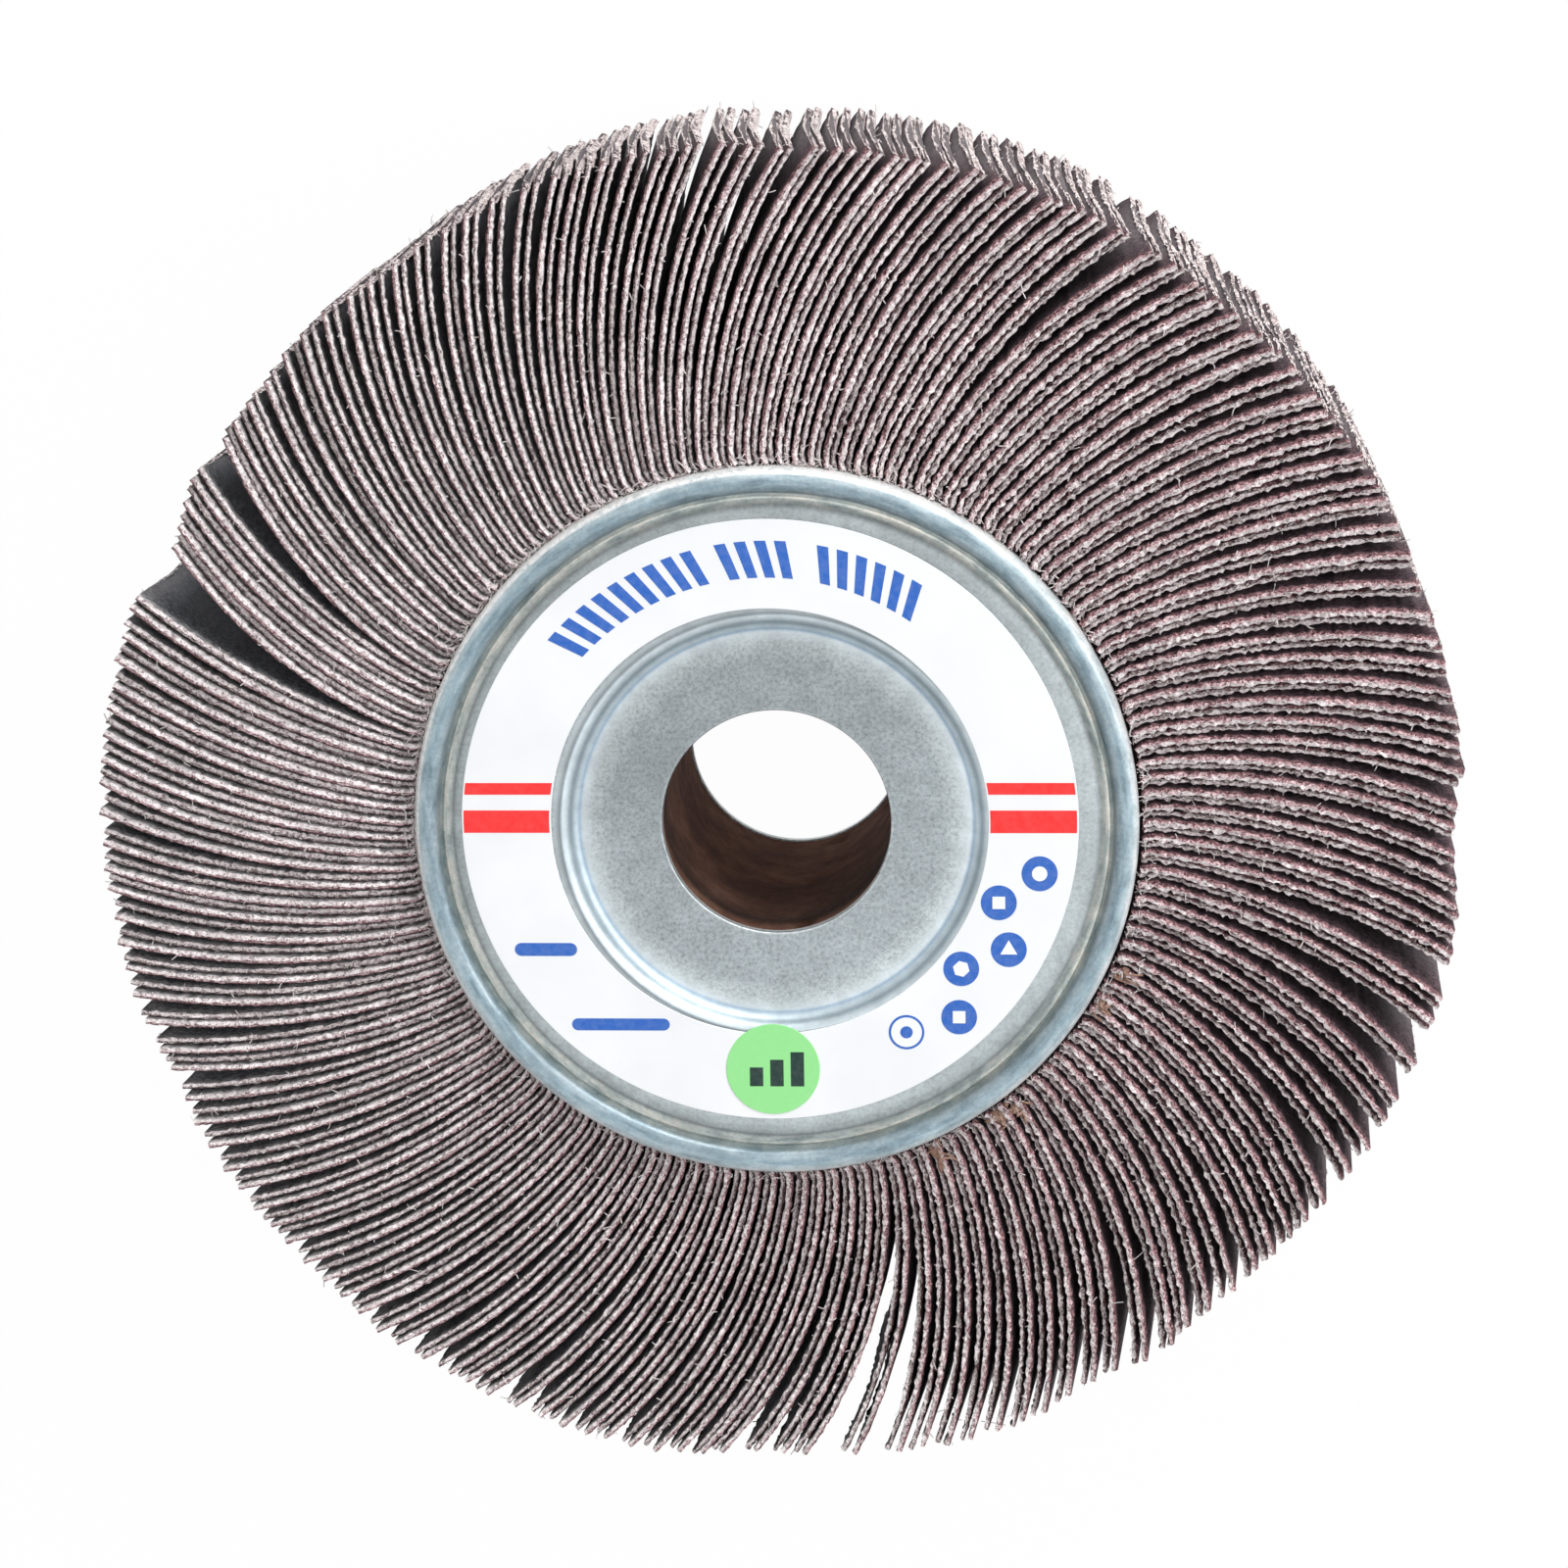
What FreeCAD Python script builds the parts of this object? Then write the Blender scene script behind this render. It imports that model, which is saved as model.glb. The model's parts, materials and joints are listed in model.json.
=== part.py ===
import FreeCAD, Part
import math
import os
import re

import Sketcher

# Unmounted flap wheel lying on its rear flange: worn abrasive cloth flaps, cast round a bore
# in a resin core and clamped between two pressed steel flanges whose curled rims hook inside
# the flaps. A paper ring and a round sticker are on the front flange.
# The origin is on the bore axis in the plane that the wheel rests on, with +Z along the axis
# towards the front flange.

# Driving dimensions: alias, value in millimetres unless it says otherwise, meaning
SIZES = [
    ("wheel_diameter", 150, "over the flap tips"),
    ("pack_width", 44, "over the sides of all flaps"),
    ("flap_thickness", 0.6, "cloth with its resin and grit"),
    ("flap_spacing", 0.25, "between neighbours where they leave the core"),
    ("flap_stagger", 0.8, "sideways step between the two flaps of a pair"),
    ("pair_closeness", 0.31, "share of a pair's free space that lies between its two flaps"),
    ("tip_lean", 8.3, "degrees that a tip lags behind its root"),
    ("lean_unevenness", 0.22, "share that the lean varies by, twice round the wheel"),
    ("lean_direction", 110, "degrees, where the flaps lean most"),
    ("opening_spread", 16, "flaps each side that close up beside an opening"),
    ("bore_diameter", 25.4, "hole in both flanges"),
    ("bore_relief", 0.2, "core wall set back behind the edge of the hole"),
    ("sheet_thickness", 1.0, "steel of the flanges"),
    ("hub_diameter", 43.2, "flat clamping face round the hole"),
    ("dish_depth", 1.7, "clamping face below the label's flat"),
    ("dish_run", 2.5, "radial run of the dished wall"),
    ("flange_diameter", 80.3, "over the curled rim"),
    ("rim_clearance", 0.45, "between the rim and the roots of the flaps"),
    ("bead_width", 2.75, "half-round bead at the rim"),
    ("bead_rise", 1.2, "bead above the label's flat"),
    ("label_inner_margin", 0.15, "paper to the dished wall"),
    ("label_outer_margin", 3.2, "paper to the bead"),
    ("label_thickness", 0.15, "paper"),
    ("label_shift_x", -0.7, "paper glued off centre"),
    ("label_shift_y", 0.3, "paper glued off centre"),
    ("sticker_thickness", 0.1, "round sticker"),
    ("sticker_overhang", 1.15, "round sticker past the inner edge of the paper"),
    ("sticker_outer_margin", 0.6, "round sticker to the outer edge of the paper"),
    ("sticker_direction", 270.9, "degrees round the middle of the paper"),
]

# Where worn flaps stand apart: direction of the opening at the tips, extra width, in degrees
OPENINGS = [
    (22.5, 0.8), (62.0, 0.8), (91.5, 0.8), (97.0, 0.8), (141.0, 0.9), (148.0, 1.3),
    (157.5, 3.0), (186.0, 1.1), (202.0, 0.9), (209.5, 0.9), (264.0, 0.8), (277.5, 2.4),
    (286.0, 0.9), (292.5, 0.9), (335.5, 1.2), (339.5, 1.4), (343.5, 1.2), (348.0, 1.1),
]

# Radii and heights of a flange, from the axis and from its seat on the core
HUB_EDGE = "hub_diameter / 2"
FLAT_INNER = "(hub_diameter / 2 + dish_run)"
RIM = "flange_diameter / 2"
FLAT_OUTER = "(flange_diameter / 2 - bead_width)"
LABEL_INNER = f"({FLAT_INNER} + label_inner_margin)"
LABEL_OUTER = f"({FLAT_OUTER} - label_outer_margin)"
STICKER_INNER = f"({LABEL_INNER} - sticker_overhang)"
STICKER_OUTER = f"({LABEL_OUTER} - sticker_outer_margin)"
FLAT_TOP = "(sheet_thickness + dish_depth)"
FLANGE_HEIGHT = "(sheet_thickness + dish_depth + bead_rise)"
# Degrees from the bead's inner foot round its section, where its half-round is set out
BEAD_STEPS = (55, 125, 180)
# How far a corner of the sheet moves outwards from its upper to its lower face
SHEET_SHIFT = "sheet_thickness * tan(atan(dish_depth / dish_run) / 2)"

# Heights above the plane that the wheel rests on
MIDDLE = "(pack_width / 2 + sheet_thickness + bead_rise)"
FRONT_SEAT = f"({MIDDLE} + pack_width / 2 - dish_depth)"
REAR_SEAT = f"({MIDDLE} - pack_width / 2 + dish_depth)"
LABEL_SEAT = f"({FRONT_SEAT} + {FLAT_TOP})"


def cells(formula):
    """Point each word of a formula that is a driving dimension at its cell."""
    aliases = {alias for alias, _, _ in SIZES}
    return re.sub(r"[a-z_]+", lambda w: "sizes." + w[0] if w[0] in aliases else w[0], formula)


def size(alias):
    return float(sizes.get(alias))


def polar(radius, degrees):
    turn = math.radians(degrees)
    return FreeCAD.Vector(radius * math.cos(turn), radius * math.sin(turn), 0)


def new_sketch(body, role):
    sketch = body.newObject("Sketcher::SketchObject", body.Name + "_sketch")
    plane = next(face for face in body.Origin.OriginFeatures if face.Role == role)
    sketch.AttachmentSupport = [(plane, "")]
    sketch.MapMode = "FlatFace"
    return sketch


def add_outline(sketch, corners):
    """Closed outline whose corners are (radius, height) formulas; a height of None is zero."""
    count = len(corners)
    start = [FreeCAD.Vector(10 + i, 1 + i, 0) for i in range(count)]
    for i in range(count):
        sketch.addGeometry(Part.LineSegment(start[i], start[(i + 1) % count]), False)
    for i in range(count):
        sketch.addConstraint(Sketcher.Constraint("Coincident", i, 2, (i + 1) % count, 1))
    for i, (radius, height) in enumerate(corners):
        across = sketch.addConstraint(Sketcher.Constraint("DistanceX", -1, 1, i, 1, start[i].x))
        sketch.setExpression(f"Constraints[{across}]", cells(radius))
        if height is None:
            sketch.addConstraint(Sketcher.Constraint("PointOnObject", i, 1, -1))
        else:
            up = sketch.addConstraint(Sketcher.Constraint("DistanceY", -1, 1, i, 1, start[i].y))
            sketch.setExpression(f"Constraints[{up}]", cells(height))


def add_circle(sketch, radius):
    circle = Part.Circle(FreeCAD.Vector(0, 0, 0), FreeCAD.Vector(0, 0, 1), 10)
    index = sketch.addGeometry(circle, False)
    sketch.addConstraint(Sketcher.Constraint("Coincident", index, 3, -1, 1))
    radial = sketch.addConstraint(Sketcher.Constraint("Radius", index, 10))
    sketch.setExpression(f"Constraints[{radial}]", cells(radius))


def place(part, **formulas):
    for axis, formula in formulas.items():
        part.setExpression("Placement.Base." + axis, cells(formula))


def make_flange(label, seat):
    """Pressed flange: hub flat, dished wall, flat for the label, bead and curled rim."""
    body = doc.addObject("PartDesign::Body", label)
    sketch = new_sketch(body, "XZ_Plane")
    bead_middle = f"{FLANGE_HEIGHT} - bead_width / 2 * sin({BEAD_STEPS[0]}deg)"
    add_outline(sketch, [
        ("bore_diameter / 2", None),
        ("bore_diameter / 2", "sheet_thickness"),
        (HUB_EDGE, "sheet_thickness"),
        (FLAT_INNER, FLAT_TOP),
        (FLAT_OUTER, FLAT_TOP),
    ] + [
        (f"{RIM} - bead_width / 2 * (1 + cos({turn}deg))",
         f"{bead_middle} + bead_width / 2 * sin({turn}deg)")
        for turn in BEAD_STEPS
    ] + [
        (RIM, None),
        (f"{RIM} - sheet_thickness", None),
        (f"{RIM} - sheet_thickness", "dish_depth"),
        (f"{FLAT_INNER} + {SHEET_SHIFT}", "dish_depth"),
        (f"{HUB_EDGE} + {SHEET_SHIFT}", None),
    ])
    turned = body.newObject("PartDesign::Revolution", label + "_turned")
    turned.Profile = sketch
    turned.ReferenceAxis = (sketch, ["V_Axis"])
    turned.Angle = 360
    if seat == REAR_SEAT:
        body.Placement.Rotation = FreeCAD.Rotation(FreeCAD.Vector(1, 0, 0), 180)
    place(body, z=seat)
    return body


def make_label():
    """Paper ring on the flat of the front flange."""
    body = doc.addObject("PartDesign::Body", "paper_label")
    sketch = new_sketch(body, "XY_Plane")
    add_circle(sketch, LABEL_OUTER)
    add_circle(sketch, LABEL_INNER)
    paper = body.newObject("PartDesign::Pad", "paper")
    paper.Profile = sketch
    paper.setExpression("Length", cells("label_thickness"))
    place(body, x="label_shift_x", y="label_shift_y", z=LABEL_SEAT)
    return body


def make_sticker():
    """Round sticker that fills the width of the paper ring and hangs over its inner edge."""
    disc = doc.addObject("Part::Cylinder", "grade_sticker")
    disc.setExpression("Radius", cells(f"({STICKER_OUTER} - {STICKER_INNER}) / 2"))
    disc.setExpression("Height", cells("sticker_thickness"))
    out = f"({STICKER_INNER} + {STICKER_OUTER}) / 2"
    place(disc, x=f"label_shift_x + {out} * cos(sticker_direction * 1deg)",
          y=f"label_shift_y + {out} * sin(sticker_direction * 1deg)",
          z=f"{LABEL_SEAT} + label_thickness")
    return disc


def root_radius():
    return size("flange_diameter") / 2 + size("rim_clearance")


def pair_count():
    around = 2 * math.pi * root_radius()
    return int(around / (2 * (size("flap_thickness") + size("flap_spacing"))))


def lean(direction):
    """Degrees that a tip lags behind its root, more in some directions than in others."""
    swing = math.cos(math.radians(2 * (direction - size("lean_direction"))))
    return size("tip_lean") * (1 + size("lean_unevenness") * swing)


def flap_turns(gaps, thickness_turn):
    """Directions of all flaps, from the share of the free space in the gap after each."""
    free = 360 - thickness_turn * len(gaps)
    total = sum(gaps)
    turns = []
    turn = 0
    for gap in gaps:
        turns.append(turn)
        turn += thickness_turn + free * gap / total
    return turns


def tip_gaps(gaps):
    """Widen the gaps at the openings and close up the gaps beside them by as much in all."""
    spread = int(size("opening_spread"))
    pairs = len(gaps) // 2
    tip_thickness = math.degrees(2 * size("flap_thickness") / size("wheel_diameter"))
    degrees_per_gap = (360 - tip_thickness * len(gaps)) / sum(gaps)
    widened = list(gaps)
    for direction, width in OPENINGS:
        root = direction + lean(direction + size("tip_lean"))
        middle = 2 * round(root / 360 * pairs) - 1
        nearby = [(middle + step) % len(gaps) for step in range(-spread, spread + 1)]
        extra = width / degrees_per_gap
        kept = 1 - extra / sum(widened[i] for i in nearby)
        for i in nearby:
            widened[i] *= kept
        widened[middle % len(gaps)] += extra
    return widened


def flap_corners(root_turn, tip_turn):
    """Corners of a flap seen along the axis: right and left at the root, left and right at the
    tip. The root's lie on the core, and the tip's are dressed to the wheel's diameter."""
    root_reach, tip_reach = root_radius(), size("wheel_diameter") / 2
    root = polar(root_reach, root_turn)
    tip = polar(tip_reach, tip_turn - lean(root_turn))
    along = tip - root
    side = FreeCAD.Vector(-along.y, along.x, 0).normalize() * (size("flap_thickness") / 2)
    corners = [root - side, root + side, tip + side, tip - side]
    reaches = [root_reach, root_reach, tip_reach, tip_reach]
    return [p * (reach / p.Length) for p, reach in zip(corners, reaches)]


def make_flap_pack():
    """All flaps, in pairs round the cast core that holds their roots."""
    close = size("pair_closeness")
    gaps = [close, 1 - close] * pair_count()
    root_turns = flap_turns(gaps, math.degrees(size("flap_thickness") / root_radius()))
    tip_thickness = math.degrees(2 * size("flap_thickness") / size("wheel_diameter"))
    tip_turns = flap_turns(tip_gaps(gaps), tip_thickness)
    length = size("pack_width") - size("flap_stagger")
    low = FreeCAD.Vector(0, 0, size("sheet_thickness") + size("bead_rise"))
    step = FreeCAD.Vector(0, 0, size("flap_stagger"))
    flaps, core_corners = [], []
    for index, (root_turn, tip_turn) in enumerate(zip(root_turns, tip_turns)):
        corners = flap_corners(root_turn, tip_turn)
        core_corners += corners[:2]
        start = low + step * (index % 2)
        face = Part.Face(Part.makePolygon([p + start for p in corners + corners[:1]]))
        flaps.append(face.extrude(FreeCAD.Vector(0, 0, length)))
    pack = doc.addObject("Part::Feature", "flap_pack")
    pack.Shape = make_core(core_corners).multiFuse(flaps).removeSplitter()
    return pack


def make_core(corners):
    """Cast core through the root corners of the flaps. It ends short of the flaps' sides, at
    the seats of the flanges, which leaves a notch round each end for the flange's rim."""
    bottom = FreeCAD.Vector(0, 0, size("sheet_thickness") + size("bead_rise") + size("dish_depth"))
    length = size("pack_width") - 2 * size("dish_depth")
    wall = Part.makePolygon([p + bottom for p in corners + corners[:1]])
    bore = Part.makeCylinder(size("bore_diameter") / 2 + size("bore_relief"), length, bottom)
    return Part.Face(wall).extrude(FreeCAD.Vector(0, 0, length)).cut(bore)


doc = FreeCAD.newDocument("flap_wheel")
sizes = doc.addObject("Spreadsheet::Sheet", "sizes")
for row, (alias, value, meaning) in enumerate(SIZES, start=1):
    sizes.set(f"A{row}", alias.replace("_", " "))
    sizes.set(f"B{row}", str(value))
    sizes.set(f"C{row}", meaning)
    sizes.setAlias(f"B{row}", alias)
doc.recompute()

parts = [
    make_flap_pack(),
    make_flange("front_flange", FRONT_SEAT),
    make_flange("rear_flange", REAR_SEAT),
    make_label(),
    make_sticker(),
]
for part in parts:
    part.Label = part.Name
doc.recompute()

for item in doc.Objects:
    if "Invalid" in item.State or "Error" in item.State:
        raise RuntimeError(f"{item.Name} failed: {item.State}")
for part in parts:
    if part.Shape.isNull() or not part.Shape.isValid() or len(part.Shape.Solids) != 1:
        raise RuntimeError(f"{part.Label} isn't one valid solid")
os.makedirs("parts", exist_ok=True)
for part in parts:
    part.Shape.exportStep(f"parts/{part.Label}.step")
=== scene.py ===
import json
import math

import bpy
import numpy as np
from mathutils import Matrix, Vector


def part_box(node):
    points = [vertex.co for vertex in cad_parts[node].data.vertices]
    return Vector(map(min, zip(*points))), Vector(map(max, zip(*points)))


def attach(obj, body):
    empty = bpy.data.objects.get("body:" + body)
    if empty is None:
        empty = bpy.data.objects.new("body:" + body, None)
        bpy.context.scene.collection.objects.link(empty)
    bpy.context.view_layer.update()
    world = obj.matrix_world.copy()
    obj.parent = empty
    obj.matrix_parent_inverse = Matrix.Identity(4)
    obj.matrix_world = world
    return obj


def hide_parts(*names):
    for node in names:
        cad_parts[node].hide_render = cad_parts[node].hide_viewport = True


# Looks of the unmounted flap wheel, which lies on its rear flange. The worn flaps, the cast core
# and the pressed flanges are modelled anew round the fixed frame, and the paper ring and its
# sticker get their print. Lengths are in millimetres and angles in degrees, unless a name says
# otherwise, and meshes are scaled to metres.

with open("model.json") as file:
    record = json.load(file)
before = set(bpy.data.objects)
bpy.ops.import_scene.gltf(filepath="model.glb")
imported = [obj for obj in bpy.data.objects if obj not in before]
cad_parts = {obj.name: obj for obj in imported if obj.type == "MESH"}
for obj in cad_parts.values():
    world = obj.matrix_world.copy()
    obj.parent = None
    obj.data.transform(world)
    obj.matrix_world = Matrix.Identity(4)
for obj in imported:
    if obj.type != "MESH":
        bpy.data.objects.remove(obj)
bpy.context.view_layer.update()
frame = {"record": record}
chance = np.random.default_rng(52)

METRE = 1000


def node_box(name):
    return tuple(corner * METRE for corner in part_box(name))


PACK_LOW, PACK_HIGH = node_box("flap_pack")
FRONT_LOW, FRONT_HIGH = node_box("front_flange")
REAR_HIGH = node_box("rear_flange")[1]
LABEL_LOW, LABEL_HIGH = node_box("paper_label")
STICKER_LOW, STICKER_HIGH = node_box("grade_sticker")

WHEEL_RADIUS = PACK_HIGH.x
RIM_RADIUS = FRONT_HIGH.x
BORE_RADIUS = frame["record"]["mounts"][0]["dims"]["r_mm"]
PACK_MIDDLE = (PACK_LOW.z + PACK_HIGH.z) / 2

# Flaps, placed by the same law as the solid ones, with openings that are set a little finer
FLAP_THICKNESS = 0.6
# Half the thickness of the first and the second flap of a pair
HALF_THICKNESSES = (0.28, 0.32)
FLAP_SPACING = 0.25
FLAP_STAGGER = 0.8
PAIR_CLOSENESS = 0.31
TIP_LEAN = 8.3
LEAN_UNEVENNESS = 0.22
LEAN_DIRECTION = 110
# Gaps on each side of an opening that close up for it
OPENING_SPREAD = 16
ROOT_RADIUS = RIM_RADIUS + 0.45
# Where worn flaps stand apart: direction of the opening at the tips and its extra width
OPENINGS = [
    (22.5, 0.8), (62.0, 0.8), (91.5, 0.8), (97.0, 0.5), (141.0, 1.1), (149.5, 1.8),
    (159.6, 4.2), (202.0, 0.9), (209.5, 0.9), (270.4, 0.5), (273.9, 0.9), (277.5, 2.2),
    (280.0, 1.4), (286.0, 0.6), (331.0, 1.2), (335.5, 1.5), (339.5, 1.7), (343.5, 1.5),
    (348.0, 1.3),
]
PAIRS = int(2 * math.pi * ROOT_RADIUS / (2 * (FLAP_THICKNESS + FLAP_SPACING)))
# By how much the gaps vary at the roots, in the worn set and between a flap's two ends
ROOT_GAPS_VARY = 0.15
WORN_GAPS_VARY = 0.45
END_GAPS_VARY = 0.2
BEND_POWER = 1.38
FLAP_PIECES = 4
STATIONS = 90
TIP_STEPS = 50
# How far the cloth bows sideways half way through the pack, and over what radial length
BOW = 0.7
BOW_RISE = 6.0
# How far a root is pushed clockwise beside the rim, and over what radial length
ROOT_HOOK = 0.45
ROOT_HOOK_RUN = 0.6
# Direction of a tip and how far its front end lies clockwise of its rear end
SKEW = ((45, 0.8), (95, 2.2), (135, 1.4), (200, 1.2), (277, 2.8), (340, 1.2))
# How much the flaps' lengths scatter, and by how much at the most
LENGTH_SCATTER = 0.12
LENGTH_LIMIT = 0.3
# Direction of a tip and how much further out or in its wear left it
WEAR = (
    (0, -0.55), (6, 0.7), (14, 0.4), (24, 0.35), (30, 0.75), (36, 0.7), (42, 0.8), (48, 0.3), (60, 0.7),
    (72, 0.3), (80, -0.1), (84, 0.1), (89, -0.4), (97, 0.3), (108, 0.1), (114, 0.1), (120, -0.3),
    (126, -0.8), (132, -0.1), (144, -1.0), (150, -0.4), (156, -2.0), (162, 0.2), (168, 0.35),
    (174, 0.65), (192, 0.6), (198, 0.8), (205, -0.1), (210, 0.4), (222, 0.35), (228, 0.4), (234, 1.0),
    (240, 0.8), (252, 0.95), (258, 0.85), (264, 0.45), (270, -0.8), (276, -0.2), (282, 0.4), (288, 0.55),
    (294, 0.6), (300, -0.8), (306, 0.4), (312, -0.5), (318, -0.3), (324, -0.1), (330, 0.7),
    (336, 0.85), (348, 1.35), (354, 0.75),
)
# Cut edge from its cloth to its grit: place across the half thickness, drop and roughness
EDGE_SECTION = ((-1.0, 0.12, 0.045), (0.0, 0.0, 0.045), (0.62, 0.12, 0.045), (1.08, 0.5, 0.035))
# Direction of a flap and the swelled thickness of its cut edge and its tip, as a share of its own
EDGE_SWELL = (
    (0, 1.15), (45, 1.2), (85, 1.15), (110, 1.0), (135, 1.15), (165, 1.45), (200, 1.15), (225, 1.05),
    (250, 1.0), (285, 0.92), (310, 1.0), (335, 0.9),
)
TIP_SWELL = ((0, 1.4), (45, 2.1), (90, 1.9), (135, 1.4), (180, 1.1), (270, 1.0), (330, 1.1))
# Direction of a flap and how rough its tip is, against a plain one
TIP_ROUGHNESS = ((0, 1.0), (45, 1.25), (65, 1.0), (85, 0.45), (110, 0.5), (140, 1.0))
# Direction of a flap and how ragged its cut edge is, against a plain one
RAGGED = ((0, 2.4), (50, 2.2), (90, 1.0), (180, 1.3), (250, 1.2), (320, 2.4))
# Direction of a flap and how far from the solid root circle its front edge starts
ROOT_STEP = ((60, -0.3), (230, -0.3), (275, -0.05), (315, 0.2), (0, 0.0))
# Range in which a flap's side edges stand out or in, and how high they wave
EDGE_STEP = (-0.22, 0.12)
EDGE_WAVE = 0.12
# Points round a flap at one station
RING = 2 * len(EDGE_SECTION) + 2
# Worn tip from its cloth to its grit: place across the half thickness and rise
TIP_SECTION = ((-1.05, -0.18), (-0.4, 0.05), (0.5, 0.0), (1.05, -0.2))
TIP_HALF_THICKNESS = 0.3
# How rough a plain tip is outwards and across, and how high it waves
TIP_FRAY = 0.09
TIP_SPREAD = 0.28
TIP_WAVE = 0.1

# Loose threads on the cut edges, at the roots, round the rim and on the tips
EDGE_THREADS = 4900
ROOT_THREADS = 1500
RIM_THREADS = 800
TIP_THREADS = 2100
SHORT_THREAD = 0.27
MIDDLE_THREAD = 0.4
LONG_THREAD = 0.5
THREAD_RADII = (0.04, 0.075)

# Core and flanges
CORE_RADIUS = ROOT_RADIUS
# Films of resin: direction, distance from the axis, half length and half width
RESIN_FILMS = (
    (295.5, 42.8, 2.0, 0.75), (307.0, 41.9, 0.8, 1.7), (309.5, 42.6, 0.8, 0.8), (330.5, 41.8, 0.7, 1.2),
    (336.5, 42.2, 0.9, 0.7),
)
CORE_BORE_RADIUS = BORE_RADIUS + 0.2
CORE_LEVELS = 60
CORE_TURN_STEPS = 240
PITS = 20
PIT_DEPTH = 0.6
SHEET = 1.0
HUB_EDGE = 21.6
DISH_DEPTH = 1.7
DISH_RUN = 2.5
FLAT_INNER = HUB_EDGE + DISH_RUN
FLAT_TOP = SHEET + DISH_DEPTH
BEAD_WIDTH = 2.75
# Power that flattens the bead's round section; 1 is a full round
BEAD_FLATNESS = 0.78
FLANGE_HEIGHT = FRONT_HIGH.z - FRONT_LOW.z
# Lines pressed inside the bead: distance from the bead's outer side and depth
PRESS_LINES = (
    (4.5, 0.0), (4.25, 0.16), (4.05, 0.18), (3.75, 0.06), (3.35, 0.03), (3.1, 0.14), (2.85, 0.2),
)
TURN_STEPS = 288
SHARP_EDGE = 40
# How far the plates lie below the solid flanges' faces, so that their waves stay inside
FLANGE_SETBACK = 0.05

# Paper ring
LABEL_CENTRE = (LABEL_LOW + LABEL_HIGH) / 2
LABEL_OUTER = (LABEL_HIGH.x - LABEL_LOW.x) / 2
LABEL_INNER = FLAT_INNER + 0.15
LABEL_TURN = 0.85
INK_THICKNESS = 0.02
# Lower and upper side of the red lines
RED_LINES = ((-1.06, 1.5), (3.3, 4.63))
# Curved rows of bars: direction of the first bar and number of bars
BAR_ROWS = ((137.0, 9), (98.0, 4), (77.5, 6))
BAR_STEP = 4.0
BAR_TURN = 2.3
BAR_SLANT = 2.2
BAR_INNER = 27.7
BAR_OUTER = 31.8
# Level bars: place of the middle, length and height
LEVEL_BARS = ((-25.2, -14.5, 7.0, 1.5), (-17.0, -23.2, 11.0, 1.4))
# Discs: distance from the middle, direction, and corners and size of the shape left white
DISC_RADIUS = 2.0
DISCS = (
    (30.4, -10.8, 40, 0.85), (26.9, -19.6, 4, 1.0), (30.1, -28.6, 3, 1.1), (26.9, -38.2, 6, 0.95),
    (30.5, -46.8, 4, 1.0),
)
# Thin ring with a dot: its distance and direction, and the radii of its white and its dot
DOTTED_RING = (28.3, -58.0)
DOTTED_RING_WHITE = 1.72
DOTTED_RING_DOT = 0.7

# Bars on the sticker: heights from left to right, width and distance apart
STICKER_BARS = (2.2, 3.1, 4.0)
STICKER_BAR_WIDTH = 1.5
STICKER_BAR_STEP = 2.3

# Camera in millimetres, floor and lamps in metres
CAMERA_PLACE = (30.26, 123.27, 532.0)
CAMERA_TARGET = (1.016, 5.097, 48.4)
CAMERA_LENS = 104.0
SENSOR_WIDTH = 36.0
FLOOR_HALF = 3.0
FLOOR_WHITE = 0.98
WORLD_STRENGTH = 0.29
# Name, place, width, height and watts
SOFTBOXES = (
    ("key", (0.95, 0.25, 0.85), 0.4, 0.4, 5.2),
    ("far_side", (0.45, 1.1, 0.5), 0.9, 0.5, 12.5),
    ("overhead", (0.12, -0.45, 1.27), 1.3, 0.3, 2.5),
    ("front", (0.08, 0.32, 1.25), 0.9, 0.6, 3.0),
)


def polar(radius, degrees):
    turn = np.radians(degrees)
    return np.stack([radius * np.cos(turn), radius * np.sin(turn)], axis=-1)


def add_object(name, data):
    added = bpy.data.objects.new(name, data)
    bpy.context.scene.collection.objects.link(added)
    return added


def new_piece(name, vertices, faces, materials, face_materials=None, smooth=False):
    """Mesh object from vertices in millimetres. Its faces are all smooth, all flat or as listed."""
    mesh = bpy.data.meshes.new(name)
    points = np.asarray(vertices, dtype=float) / METRE
    mesh.from_pydata(points.tolist(), [], [tuple(face) for face in faces])
    for material in materials:
        mesh.materials.append(material)
    if face_materials is not None:
        mesh.polygons.foreach_set("material_index", np.asarray(face_materials, dtype=np.int32))
    mesh.polygons.foreach_set("use_smooth", np.full(len(mesh.polygons), smooth))
    mesh.validate()
    mesh.update()
    return add_object(name, mesh)


# Materials

def rgb(hex_code):
    """Linear colour of a screen colour given as six hexadecimal digits."""
    values = [int(hex_code[i:i + 2], 16) / 255 for i in (0, 2, 4)]
    linear = [v / 12.92 if v <= 0.04045 else ((v + 0.055) / 1.055) ** 2.4 for v in values]
    return (*linear, 1.0)


def add_node(tree, kind, inputs=None, **settings):
    """New node, with each input linked or set; a hexadecimal code sets a colour."""
    node = tree.nodes.new(kind)
    for key, value in settings.items():
        setattr(node, key, value)
    for socket, value in (inputs or {}).items():
        if isinstance(value, bpy.types.NodeSocket):
            tree.links.new(value, node.inputs[socket])
        else:
            node.inputs[socket].default_value = rgb(value) if isinstance(value, str) else value
    return node


def new_material(name, **sockets):
    """A material with one Principled shader; returns it, its node tree and the shader."""
    material = bpy.data.materials.new(name)
    material.use_nodes = True
    tree = material.node_tree
    shader = tree.nodes["Principled BSDF"]
    for socket, value in sockets.items():
        shader.inputs[socket.replace("_", " ")].default_value = value
    return material, tree, shader


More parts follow.
